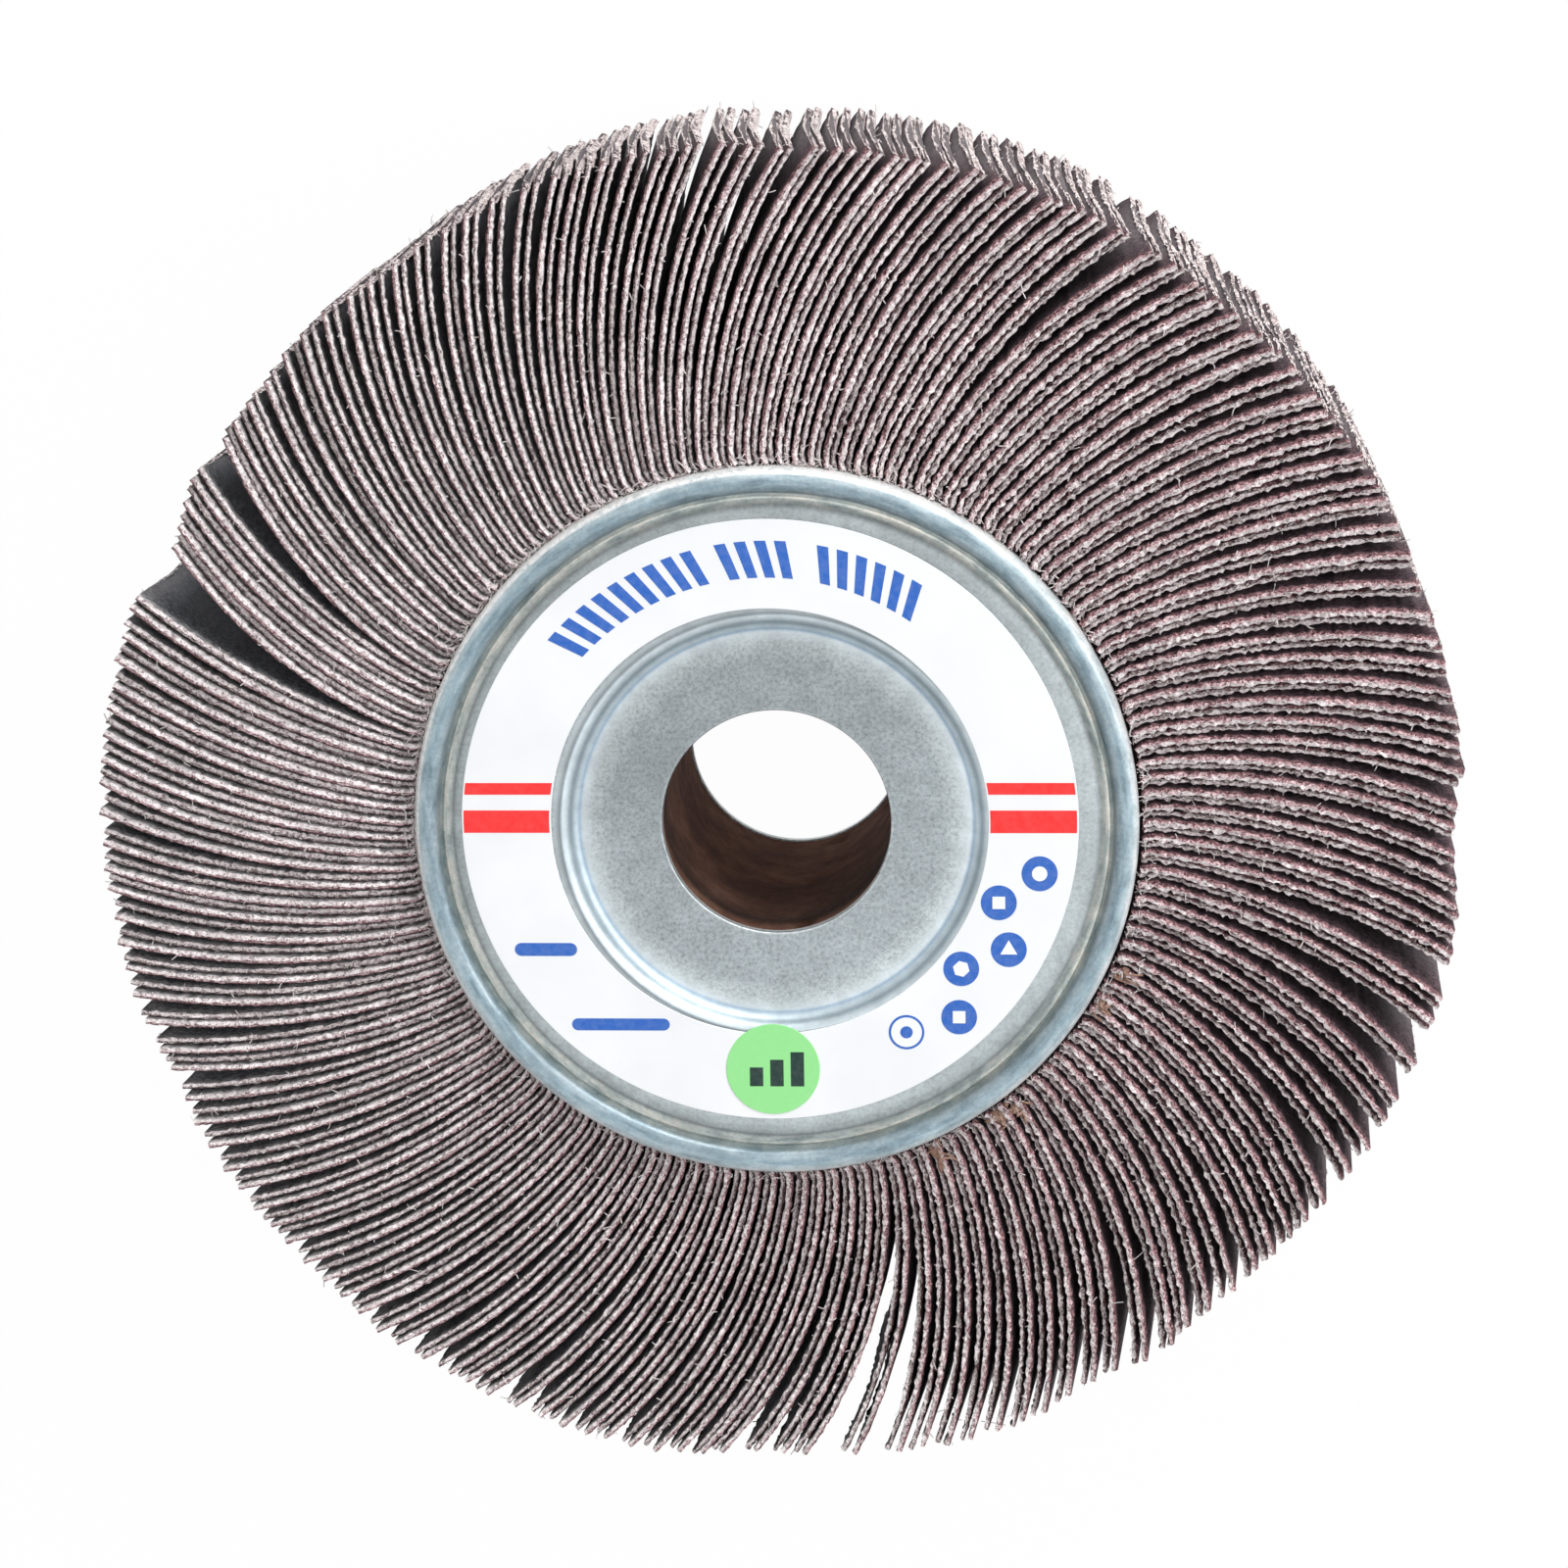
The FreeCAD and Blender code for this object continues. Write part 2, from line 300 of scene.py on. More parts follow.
def place_coordinates(tree):
    return add_node(tree, "ShaderNodeTexCoord").outputs["Object"]


def place_parts(tree):
    return add_node(tree, "ShaderNodeSeparateXYZ", {"Vector": place_coordinates(tree)}).outputs


def noise(tree, size, detail=3, roughness=0.55, vector=None):
    """Noise whose features are about the given size in millimetres."""
    node = add_node(tree, "ShaderNodeTexNoise", {
        "Vector": vector or place_coordinates(tree),
        "Scale": METRE / size, "Detail": detail, "Roughness": roughness,
    })
    return node.outputs["Fac"]


def ramp(tree, factor, stops):
    """Colours or grey levels along a factor; each stop is (position, hex code or level)."""
    node = add_node(tree, "ShaderNodeValToRGB", {"Fac": factor})
    elements = node.color_ramp.elements
    while len(elements) < len(stops):
        elements.new(0.5)
    for element, (position, value) in zip(elements, stops):
        element.position = position
        element.color = rgb(value) if isinstance(value, str) else (value, value, value, 1)
    return node.outputs["Color"]


def mix(tree, factor, first, second, blend="MIX"):
    inputs = {0: factor, 6: first, 7: second}
    return add_node(tree, "ShaderNodeMix", inputs, data_type="RGBA", blend_type=blend).outputs[2]


def maths(tree, operation, *values, clamp=False):
    inputs = dict(enumerate(values))
    return add_node(tree, "ShaderNodeMath", inputs, operation=operation, use_clamp=clamp).outputs[0]


def add_bump(tree, shader, height, depth):
    """Bump whose full height is the given depth in millimetres."""
    bump = add_node(tree, "ShaderNodeBump", {
        "Height": height, "Distance": depth / METRE, "Strength": 1.0,
    })
    tree.links.new(bump.outputs["Normal"], shader.inputs["Normal"])


def near_end(tree, value, end, reach):
    """One where a value in metres gets to its end, falling to zero at a reach before it."""
    share = maths(tree, "SUBTRACT", value, (end - reach) / METRE)
    return maths(tree, "MULTIPLY", share, METRE / reach, clamp=True)


def near_sides(tree, reach):
    """One at the two sides of the flap pack, falling to zero at the given depth in it."""
    offset = maths(tree, "SUBTRACT", place_parts(tree)["Z"], PACK_MIDDLE / METRE)
    return near_end(tree, maths(tree, "ABSOLUTE", offset), (PACK_HIGH.z - PACK_LOW.z) / 2, reach)


def from_axis(tree):
    """Place with its height taken away, and its distance from the axis in metres."""
    flat = add_node(tree, "ShaderNodeVectorMath", {0: place_coordinates(tree), 1: (1, 1, 0)},
                    operation="MULTIPLY").outputs["Vector"]
    length = add_node(tree, "ShaderNodeVectorMath", {0: flat}, operation="LENGTH")
    return flat, length.outputs["Value"]


def make_cloth_edge(name, light, middle, dark, grain, low, high):
    """Cut or worn edge of the cloth: fuzzy ends of its threads with dust and grit between."""
    material, tree, shader = new_material(name, Roughness=0.9, Specular_IOR_Level=0.2)
    fibres = noise(tree, grain, 4, 0.8)
    colour = ramp(tree, fibres, [(low, dark), ((low + high) / 2, middle), (high, light)])
    patches = ramp(tree, noise(tree, 5, 2), [(0.35, 0.78), (0.6, 1.0)])
    tree.links.new(mix(tree, 1.0, colour, patches, "MULTIPLY"), shader.inputs["Base Color"])
    add_bump(tree, shader, noise(tree, 0.3, 4, 0.7), 0.15)
    return material


def make_flap_face(name, dark, middle, light, deep_fill_light, edge, edge_reach, tip_dust):
    """Broad side of a flap: grit or cloth. Far in between the flaps it is paler, a painted fill light
    for the shaded gaps;
    along the cut edges it is paler with dust and with painted light that falls a little way in, and
    dusty at the tips."""
    deep_reach, tip_reach = 14, 2.5
    material, tree, shader = new_material(name, Roughness=0.85, Specular_IOR_Level=0.25)
    grains = noise(tree, 0.6, 5, 0.85)
    colour = ramp(tree, grains, [(0.4, dark), (0.5, middle), (0.6, light)])
    uneven = ramp(tree, grains, [(0.4, 0.5), (0.6, 1.0)])
    # Far in from the sides the face takes a paler colour: painted fill light in the shaded gaps between
    # the flaps
    colour = mix(tree, near_sides(tree, deep_reach), mix(tree, 1.0, deep_fill_light, uneven, "MULTIPLY"), colour)
    near_tips = near_end(tree, from_axis(tree)[1], WHEEL_RADIUS, tip_reach)
    tips = maths(tree, "MULTIPLY", near_tips, tip_dust)
    # Paler along the cut edges: dust together with painted light that falls a little way in from the
    # edge; dusty at the tips
    worn = maths(tree, "MAXIMUM", maths(tree, "POWER", near_sides(tree, edge_reach), 1.3), tips)
    patches = ramp(tree, noise(tree, 0.7, 4, 0.7), [(0.38, 0.15), (0.6, 1.0)])
    patchy = maths(tree, "MULTIPLY", worn, patches)
    tree.links.new(mix(tree, patchy, colour, edge), shader.inputs["Base Color"])
    add_bump(tree, shader, noise(tree, 0.5, 4, 0.8), 0.4)
    return material


def make_thread_finish():
    material, tree, shader = new_material("loose_thread", Roughness=0.8)
    colour = ramp(tree, noise(tree, 3, 2), [(0.3, "BFB2B0"), (0.6, "F3EEEC")])
    tree.links.new(colour, shader.inputs["Base Color"])
    return material


def make_resin_finish(name, dark, middle, light, roughness, size, shaded_by_height=False):
    """Cast resin. With painted shade by height, the bore is darkest a little way in from the front of
    the wheel, a painted shadow of the front flange's lip, and a little darker towards the rear.
    """
    material, tree, shader = new_material(name, Roughness=roughness, Specular_IOR_Level=0.12)
    lumps = noise(tree, size, 5, 0.65)
    colour = ramp(tree, lumps, [(0.3, dark), (0.5, middle), (0.7, light)])
    if shaded_by_height:
        # Painted shadow: darkest a little way in from the front, under the front flange's lip; a little
        # darker towards the rear
        height = maths(tree, "MULTIPLY", place_parts(tree)["Z"], METRE / PACK_HIGH.z)
        painted_shade = ramp(tree, height, [
            (0.0, 0.8), (0.2, 1.0), (0.5, 0.9), (0.75, 0.4), (0.87, 0.1), (0.93, 0.5),
        ])
        colour = mix(tree, 1.0, colour, painted_shade, "MULTIPLY")
    tree.links.new(colour, shader.inputs["Base Color"])
    add_bump(tree, shader, noise(tree, size * 0.6, 5, 0.7), 0.35)
    return material


# Colour of the plating by distance from the axis: hub, dished wall, flat and bead. It also holds painted
# highlights at the hole's edge, on the hub's outer ring, on the dished wall, on the crest of the pressed
# lines and at the bead's outer edge, and painted shade in a blue line on the dished wall and in the
# pressed lines, which carry a brownish stain too; a dark line lies by the paper's inner edge.
PLATE_AND_PAINTED_LIGHT_COLOURS = (
    (BORE_RADIUS, "D8DDDF"), (13.0, "9EA6A9"), (18.4, "A0A8AB"), (20.4, "B6BEC0"), (21.6, "C8D1D5"),
    (21.95, "9AAEBF"), (22.3, "C0CDD4"), (23.7, "C9D4D9"), (24.0, "7E868A"), (24.5, "A6AEB1"),
    (35.5, "AAB2B4"), (35.85, "979C9E"), (36.0, "868A89"), (36.2, "9DA09C"), (36.68, "ACADA8"),
    (36.85, "DAD6CC"), (36.98, "A6A7A0"), (37.3, "B2B8B6"), (37.6, "A2AFB5"), (38.8, "9AADB6"),
    (39.5, "C6D3D8"), (39.8, "F6F8F8"),
)


def make_plate_finish():
    """Zinc plating with a faint blue cast: grainy on the flats, streaked along the bead with partly
    painted reflections, painted highlights and shade by distance from the axis, painted shade on the hub
    towards the upper left and on the flat band towards the top, and white lint on the rim at the upper
    left."""
    material, tree, shader = new_material("zinc_plate")
    flat, reach = from_axis(tree)
    share_out = maths(tree, "MULTIPLY", reach, METRE / RIM_RADIUS)
    heading = add_node(tree, "ShaderNodeVectorMath", {0: flat}, operation="NORMALIZE")
    heading = add_node(tree, "ShaderNodeSeparateXYZ", {"Vector": heading.outputs["Vector"]}).outputs
    upper_left = maths(tree, "SUBTRACT", heading["Y"], heading["X"])

    def by_radius(*stops):
        """Colour or grey level by distance from the axis; each stop is (radius, colour)."""
        return ramp(tree, share_out, [(radius / RIM_RADIUS, colour) for radius, colour in stops])

    def times(first, second, share=1.0):
        return mix(tree, share, first, second, "MULTIPLY")

    grain = noise(tree, 0.45, 4, 0.8)
    speckle = ramp(tree, grain, [(0.36, 0.6), (0.46, 0.8), (0.54, 0.94), (0.62, 1.02)])
    on_flats = by_radius((20, 1.0), (21.5, 0.2), (24.6, 0.2), (25.0, 1.0), (37.5, 0.5))
    colour = times(by_radius(*PLATE_AND_PAINTED_LIGHT_COLOURS), speckle, on_flats)

    # Streaks run round the bead: uneven plating, with painted reflections of bright bands in them
    streak_stretch = 0.008
    unrolled = add_node(tree, "ShaderNodeCombineXYZ", {
        "X": maths(tree, "MULTIPLY", heading["X"], streak_stretch),
        "Y": maths(tree, "MULTIPLY", heading["Y"], streak_stretch),
        "Z": reach,
    })
    mottle_and_sheen_streaks = ramp(tree, noise(tree, 0.9, 5, 0.65, unrolled.outputs["Vector"]),
                   [(0.3, "A3B2BA"), (0.47, "DDE7EB"), (0.6, "FFFFFF")])
    colour = times(colour, mottle_and_sheen_streaks, by_radius((35.6, 0.1), (36.4, 1.0), (39.4, 0.8)))
    for size, low, high, shade in ((9, 0.35, 0.65, 0.86), (2, 0.4, 0.6, 0.9)):
        colour = times(colour, ramp(tree, noise(tree, size, 3), [(low, shade), (high, 1.0)]))

    lint = ramp(tree, noise(tree, 0.6, 3, 0.7), [(0.4, 0.3), (0.55, 1.0)])
    lint = times(lint, by_radius((39.55, 0.0), (39.72, 0.9)))
    lint = maths(tree, "MULTIPLY", lint, maths(tree, "MULTIPLY", upper_left, 1.2, clamp=True))
    colour = mix(tree, lint, colour, "F8F8F6")

    # Painted shade: the hub darker towards the upper left and lighter towards the lower right, as the
    # lamps fall on it
    shade = maths(tree, "MULTIPLY_ADD", upper_left, 0.35, 0.5, clamp=True)
    on_hub = by_radius((21.6, 1.0), (22.6, 0.0))
    colour = times(colour, ramp(tree, shade, [(0.0, 1.0), (1.0, 0.76)]), on_hub)
    # Painted shade: the flat band darker towards the top of the wheel, where the bead shades it
    shade = ramp(tree, heading["Y"], [(0.3, 1.0), (1.0, 0.72)])
    colour = times(colour, shade, by_radius((24.4, 0.0), (25.0, 1.0), (36.2, 1.0), (36.6, 0.0)))
    tree.links.new(colour, shader.inputs["Base Color"])
    # Less metal on the bead, and least at its outer edge, so that the painted highlight there shows as a
    # white line
    metal = by_radius((24.0, 1.0), (25.0, 0.85), (37.0, 0.8), (37.8, 0.5), (39.5, 0.45), (39.8, 0.1))
    tree.links.new(metal, shader.inputs["Metallic"])
    roughness = by_radius((20, 0.42), (22.0, 0.5), (24.2, 0.5), (25.0, 0.42), (37.0, 0.4))
    tree.links.new(roughness, shader.inputs["Roughness"])
    add_bump(tree, shader, grain, 0.03)
    return material


def make_paper_finish():
    material, tree, shader = new_material("coated_paper", Roughness=0.42)
    colour = ramp(tree, noise(tree, 14, 3), [(0.35, "F1F3F6"), (0.65, "F8FAFC")])
    tree.links.new(colour, shader.inputs["Base Color"])
    add_bump(tree, shader, noise(tree, 0.5, 3), 0.008)
    return material


def make_ink(name, hex_code, wear):
    """Printed ink, a little uneven over the paper's grain."""
    material, tree, shader = new_material(name, Roughness=0.5, Specular_IOR_Level=0.25)
    colour = mix(tree, ramp(tree, noise(tree, 0.7, 3), [(0.35, 0.0), (0.75, wear)]), hex_code, "FFFFFF")
    tree.links.new(colour, shader.inputs["Base Color"])
    return material


# Flaps

def lean(direction):
    swing = np.cos(np.radians(2 * (direction - LEAN_DIRECTION)))
    return TIP_LEAN * (1 + LEAN_UNEVENNESS * swing)


def flap_turns(gaps, thickness_turn):
    """Directions of all flaps, from the share of the free space in the gap after each."""
    free = 360 - thickness_turn * len(gaps)
    steps = thickness_turn + free * gaps / gaps.sum()
    return np.concatenate([[0], np.cumsum(steps)[:-1]])


def widen_openings(gaps):
    """Widen the gaps at the openings and close up the gaps beside them by as much in all."""
    tip_thickness = math.degrees(FLAP_THICKNESS / WHEEL_RADIUS)
    degrees_per_gap = (360 - tip_thickness * len(gaps)) / gaps.sum()
    widened = gaps.copy()
    for direction, width in OPENINGS:
        root = direction + lean(direction + TIP_LEAN)
        middle = 2 * round(root / 360 * PAIRS) - 1
        nearby = (middle + np.arange(-OPENING_SPREAD, OPENING_SPREAD + 1)) % len(gaps)
        extra = width / degrees_per_gap
        widened[nearby] *= 1 - extra / widened[nearby].sum()
        widened[middle % len(gaps)] += extra
    return widened


def vary(gaps, amount, span=10):
    """Vary the gaps, while those of any few neighbours still fill about the same angle."""
    varied = gaps * (1 + amount * chance.uniform(-1, 1, len(gaps)))
    window = np.ones(span) / span

    def mean_nearby(row):
        return np.convolve(np.tile(row, 3), window, "same")[len(row):2 * len(row)]

    return varied * mean_nearby(gaps) / mean_nearby(varied)


def by_direction(table, direction):
    """Value for a direction, between the rows of a table of directions and values."""
    at, value = zip(*table)
    return np.interp(direction, at, value, period=360)


def wavy(shape, spacing):
    """Smooth random numbers along the last axis, with a new value every few places."""
    count = shape[-1]
    knots = max(4, int(count / spacing) + 3)
    values = chance.uniform(-1, 1, (*shape[:-1], knots))
    at = np.linspace(0, knots - 2.001, count)
    low = at.astype(int)
    share = at - low
    share = share * share * (3 - 2 * share)
    return values[..., low] * (1 - share) + values[..., low + 1] * share


def flap_frames():
    """Middle line of each flap at the front, half way through the pack and at the rear, with its
    sideways direction."""
    pairs = np.array([PAIR_CLOSENESS, 1 - PAIR_CLOSENESS] * PAIRS)
    root_thickness = math.degrees(FLAP_THICKNESS / ROOT_RADIUS)
    tip_thickness = math.degrees(FLAP_THICKNESS / WHEEL_RADIUS)
    roots = flap_turns(vary(pairs, ROOT_GAPS_VARY), root_thickness)
    worn = vary(widen_openings(pairs), WORN_GAPS_VARY)
    front_tips = flap_turns(vary(worn, END_GAPS_VARY), tip_thickness) - lean(roots)
    rear_tips = flap_turns(vary(worn, END_GAPS_VARY), tip_thickness) - lean(roots)
    turn = by_direction(SKEW, front_tips) / 2
    ends = WHEEL_RADIUS + by_direction(WEAR, front_tips)
    ends += chance.normal(0, LENGTH_SCATTER, len(roots)).clip(-LENGTH_LIMIT, LENGTH_LIMIT)
    share = np.linspace(0, 1, STATIONS)
    step = by_direction(ROOT_STEP, roots) + chance.uniform(0, 0.12, len(roots))
    lines = []
    for tips, bow, root_step in (
        (front_tips - turn, 0, step),
        ((front_tips + rear_tips) / 2, BOW, np.zeros(len(roots))),
        (rear_tips + turn, 0, step),
    ):
        start = ROOT_RADIUS + root_step[:, None]
        reach = start + (ends[:, None] - start) * share
        hook = -ROOT_HOOK * np.exp(-(reach - start) / ROOT_HOOK_RUN)
        cup = bow * (1 - np.exp(-(reach - start) / BOW_RISE))
        turns = roots[:, None] + (tips - roots)[:, None] * share ** BEND_POWER
        turns = turns + np.degrees((hook + cup) / reach)
        middle = polar(reach, turns)
        along = np.gradient(middle, axis=1)
        along /= np.linalg.norm(along, axis=-1, keepdims=True)
        side = np.stack([-along[..., 1], along[..., 0]], axis=-1)
        lines.append((middle, side))
    return lines


def make_flaps(front, half_way, rear):
    """All flaps as a ring of points at each station: the front edge from its cloth to its grit,
    the grit half way through the pack, the rear edge back, and the cloth half way."""
    count = 2 * PAIRS
    first_of_pair = np.arange(count) % 2 == 0
    half = np.where(first_of_pair, *HALF_THICKNESSES)[:, None]
    half = half * (1 + 0.1 * wavy((count, STATIONS), 9))
    tips = front[0][:, -1]
    directions = np.degrees(np.arctan2(tips[:, 1], tips[:, 0]))
    swell = by_direction(EDGE_SWELL, directions)
    ragged_here = by_direction(RAGGED, directions)[:, None]
    # The edges swell over the first quarter of a flap's length
    outwards = np.clip(np.linspace(-0.08, 4, STATIONS), 0, 1)
    cut = half * (1 + (swell[:, None] - 1) * outwards)
    set_back = np.where(first_of_pair, FLAP_STAGGER, 0.0)[:, None]
    uneven = chance.uniform(*EDGE_STEP, (count, 1)) + EDGE_WAVE * wavy((count, STATIONS), 30)
    top = PACK_HIGH.z - set_back + uneven
    bottom = PACK_LOW.z + FLAP_STAGGER - set_back + uneven

    def rough(amount):
        return amount * ragged_here * chance.normal(0, 1, (count, STATIONS)).clip(-2.2, 2.2)

    def edge_line(line, offset, height, ragged):
        middle, side = line
        flat = middle + side * (offset + rough(ragged))[..., None]
        return np.concatenate([flat, (height + rough(0.6 * ragged + 0.01))[..., None]], axis=-1)

    level = np.full((count, STATIONS), PACK_MIDDLE)
    corners = [edge_line(front, sign * cut, top - drop, ragged) for sign, drop, ragged in EDGE_SECTION]
    corners.append(edge_line(half_way, half, level, 0))
    corners += [
        edge_line(rear, sign * cut, bottom + drop, ragged) for sign, drop, ragged in EDGE_SECTION[::-1]
    ]
    corners.append(edge_line(half_way, -half, level, 0))
    return np.stack(corners, axis=2)


def tip_strips(rings):
    """Worn outer edge of each flap: a rough strip with a row of points a step, front to rear."""
    last = rings[:, -1]
    count = len(last)
    grit_front = len(EDGE_SECTION) - 1
    share = np.linspace(0.004, 0.996, TIP_STEPS)[None, :, None]
    to_front, to_rear = np.clip(1 - 2 * share, 0, 1), np.clip(2 * share - 1, 0, 1)
    half_way = 1 - to_front - to_rear

    def across_depth(*corners):
        front, middle, rear = (last[:, None, corner] for corner in corners)
        return front * to_front + middle * half_way + rear * to_rear

    cloth = across_depth(0, RING - 1, RING - 2)
    grit = across_depth(grit_front, grit_front + 1, grit_front + 2)
    middle, across = (cloth + grit) / 2, (grit - cloth) / 2
    outward = middle * (1, 1, 0)
    outward /= np.linalg.norm(outward, axis=-1, keepdims=True)
    across *= TIP_HALF_THICKNESS / np.linalg.norm(across, axis=-1, keepdims=True)
    directions = np.degrees(np.arctan2(middle[..., 1], middle[..., 0]))
    swell = by_direction(TIP_SWELL, directions)[..., None]
    roughness = by_direction(TIP_ROUGHNESS, directions)[..., None]
    calm_ends = np.clip(4 * np.minimum(share, 1 - share) / 0.12, 0.25, 1)

    def scatter():
        return roughness * chance.normal(0, 1, (count, TIP_STEPS, 1)).clip(-2, 2)

    strips = []
    for side, rise in TIP_SECTION:
        fray = TIP_FRAY * scatter() + TIP_WAVE * wavy((count, TIP_STEPS), 5)[..., None]
        spread = side * swell + TIP_SPREAD * scatter()
        strips.append(middle + across * spread + outward * (rise + fray * calm_ends))
    return np.stack(strips, axis=2)


def ring_faces(steps, points, offset):
    """Quads round a tube of rings of points, closed at both ends."""
    quads = []
    for step in range(steps - 1):
        base = offset + step * points
        for k in range(points):
            after = (k + 1) % points
            quads.append((base + k, base + points + k, base + points + after, base + after))
    start = tuple(offset + k for k in range(points))
    end = tuple(offset + (steps - 1) * points + k for k in reversed(range(points)))
    return quads + [start, end]


def build_flap_pieces(rings, strips, finishes):
    """Join the flaps into a few pieces, each a run of neighbours."""
    line, pink, grey, rim, grit, back, tip = range(len(finishes))
    per_piece = 2 * PAIRS // FLAP_PIECES
    for number in range(FLAP_PIECES):
        vertices, faces, slots = [], [], []
        for flap in range(number * per_piece, (number + 1) * per_piece):
            core = grey if flap % 2 == 0 else pink
            offset = len(vertices)
            vertices += rings[flap].reshape(-1, 3).tolist()
            faces += ring_faces(STATIONS, RING, offset)
            slots += [line, core, rim, grit, grit, rim, core, line, back, back] * (STATIONS - 1)
            slots += [grit, grit]
            offset = len(vertices)
            vertices += strips[flap].reshape(-1, 3).tolist()
            faces += ring_faces(TIP_STEPS, len(TIP_SECTION), offset)
            slots += [tip, tip, tip, back] * (TIP_STEPS - 1) + [core, core]
        broad = np.isin(slots, (grit, back))
        piece = new_piece(f"abrasive_flaps_{number + 1}", vertices, faces, finishes, slots, broad)
        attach(piece, "root")
        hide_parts("flap_pack")


def thread_tube(points, radius):
    """Three-sided tube along a few points."""
    along = np.gradient(points, axis=0)
    along /= np.linalg.norm(along, axis=1, keepdims=True) + 1e-9
    across = np.cross(along, np.array([0.31, 0.52, 0.79]))
    across /= np.linalg.norm(across, axis=1, keepdims=True) + 1e-9
    other = np.cross(along, across)
    rings = []
    for turn in (0, 120, 240):
        part, other_part = math.cos(math.radians(turn)), math.sin(math.radians(turn))
        rings.append(points + radius * (across * part + other * other_part))
    return np.stack(rings, axis=1).reshape(-1, 3)


def edge_threads(rings):
    """Place, heading and length of the loose threads on the cut edges."""
    starts = []
    for _ in range(EDGE_THREADS):
        flap, station = chance.integers(len(rings)), chance.integers(2, STATIONS - 1)
        corner = chance.choice([0, 1, 1, 2])
        sideways = rings[flap, station, 3] - rings[flap, station, 0]
        along = rings[flap, station] - rings[flap, station - 1]
        heading = sideways * chance.uniform(-1.5, 1.0) + along[corner] * chance.normal(0, 1.6)
        heading = heading + (0, 0, chance.uniform(0, 0.3))
        starts.append((rings[flap, station, corner], heading, SHORT_THREAD))
    return starts


def root_threads(rings):
    starts = []
    for _ in range(ROOT_THREADS):
        flap, station = chance.integers(len(rings)), chance.integers(0, 4)
        inward = -rings[flap, station, 1] * (1, 1, 0) / ROOT_RADIUS
        heading = 0.6 * inward + chance.normal(0, 0.6, 3) + (0, 0, 0.2)
        starts.append((rings[flap, station, chance.choice([0, 1, 2])], heading, MIDDLE_THREAD))
    return starts


def rim_threads():
    """Fluff round the front rim, most of it at the upper left."""
    starts = []
    for _ in range(RIM_THREADS):
        turn = chance.normal(135, 45)
        at = np.array([*polar(RIM_RADIUS + chance.uniform(0.05, 0.4), turn), PACK_HIGH.z])
        at[2] -= chance.uniform(0.1, 0.5)
        heading = np.array([*polar(1.0, turn + 90), 0]) + chance.normal(0, 0.4, 3)
        starts.append((at, heading, LONG_THREAD))
    return starts


def tip_threads(strips):
    starts = []
    for _ in range(TIP_THREADS):
        flap, step = chance.integers(len(strips)), chance.integers(0, TIP_STEPS)
        corner = chance.choice([0, 1, 2])
        outward = strips[flap, step, corner] * (1, 1, 0) / WHEEL_RADIUS
        heading = outward * 0.25 + chance.normal(0, 0.7, 3)
        starts.append((strips[flap, step, corner], heading, MIDDLE_THREAD))
    return starts


def make_threads(rings, strips, finish):
    """Loose threads and fluff, each a thin curled tube."""
    vertices, faces = [], []
    for start, heading, length in (
        *edge_threads(rings), *root_threads(rings), *rim_threads(), *tip_threads(strips),
    ):
        heading = heading / (np.linalg.norm(heading) + 1e-9)
        curl = chance.normal(0, 0.8, 3)
        reach = length * min(chance.gamma(2.2, 0.45), 2.0)
        share = np.linspace(0, 1, 4)[:, None]
        points = start + heading * reach * share + curl * reach * share ** 2 * 0.8
        tube = thread_tube(points, chance.uniform(*THREAD_RADII))
        faces += ring_faces(4, 3, len(vertices))
        vertices += tube.tolist()
    piece = new_piece("loose_threads", vertices, faces, [finish], smooth=True)
    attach(piece, "root")


# Core and flanges

def arc(centre, radius, start, end, steps):
    """Points of an arc in a section: distance from the axis and height."""
    turns = np.radians(np.linspace(start, end, steps + 1))
    return [(centre[0] + radius * math.cos(t), centre[1] + radius * math.sin(t)) for t in turns]


def lathe(profile, steps, wobble=None):
    """Closed section turned round the axis, with an optional uneven offset of its points."""
    profile = np.array(profile)
    turns = np.linspace(0, 360, steps, endpoint=False)
    count = len(profile)
    radius = np.tile(profile[:, 0], (steps, 1))
    height = np.tile(profile[:, 1], (steps, 1))
    if wobble is not None:
        radius, height = wobble(radius, height, turns)
    flat = polar(radius, turns[:, None])
    vertices = np.concatenate([flat, height[..., None]], axis=-1).reshape(-1, 3)
    faces = []
    for step in range(steps):
        here, there = step * count, ((step + 1) % steps) * count
        for k in range(count):
            after = (k + 1) % count
            faces.append((here + k, here + after, there + after, there + k))
    return vertices, faces


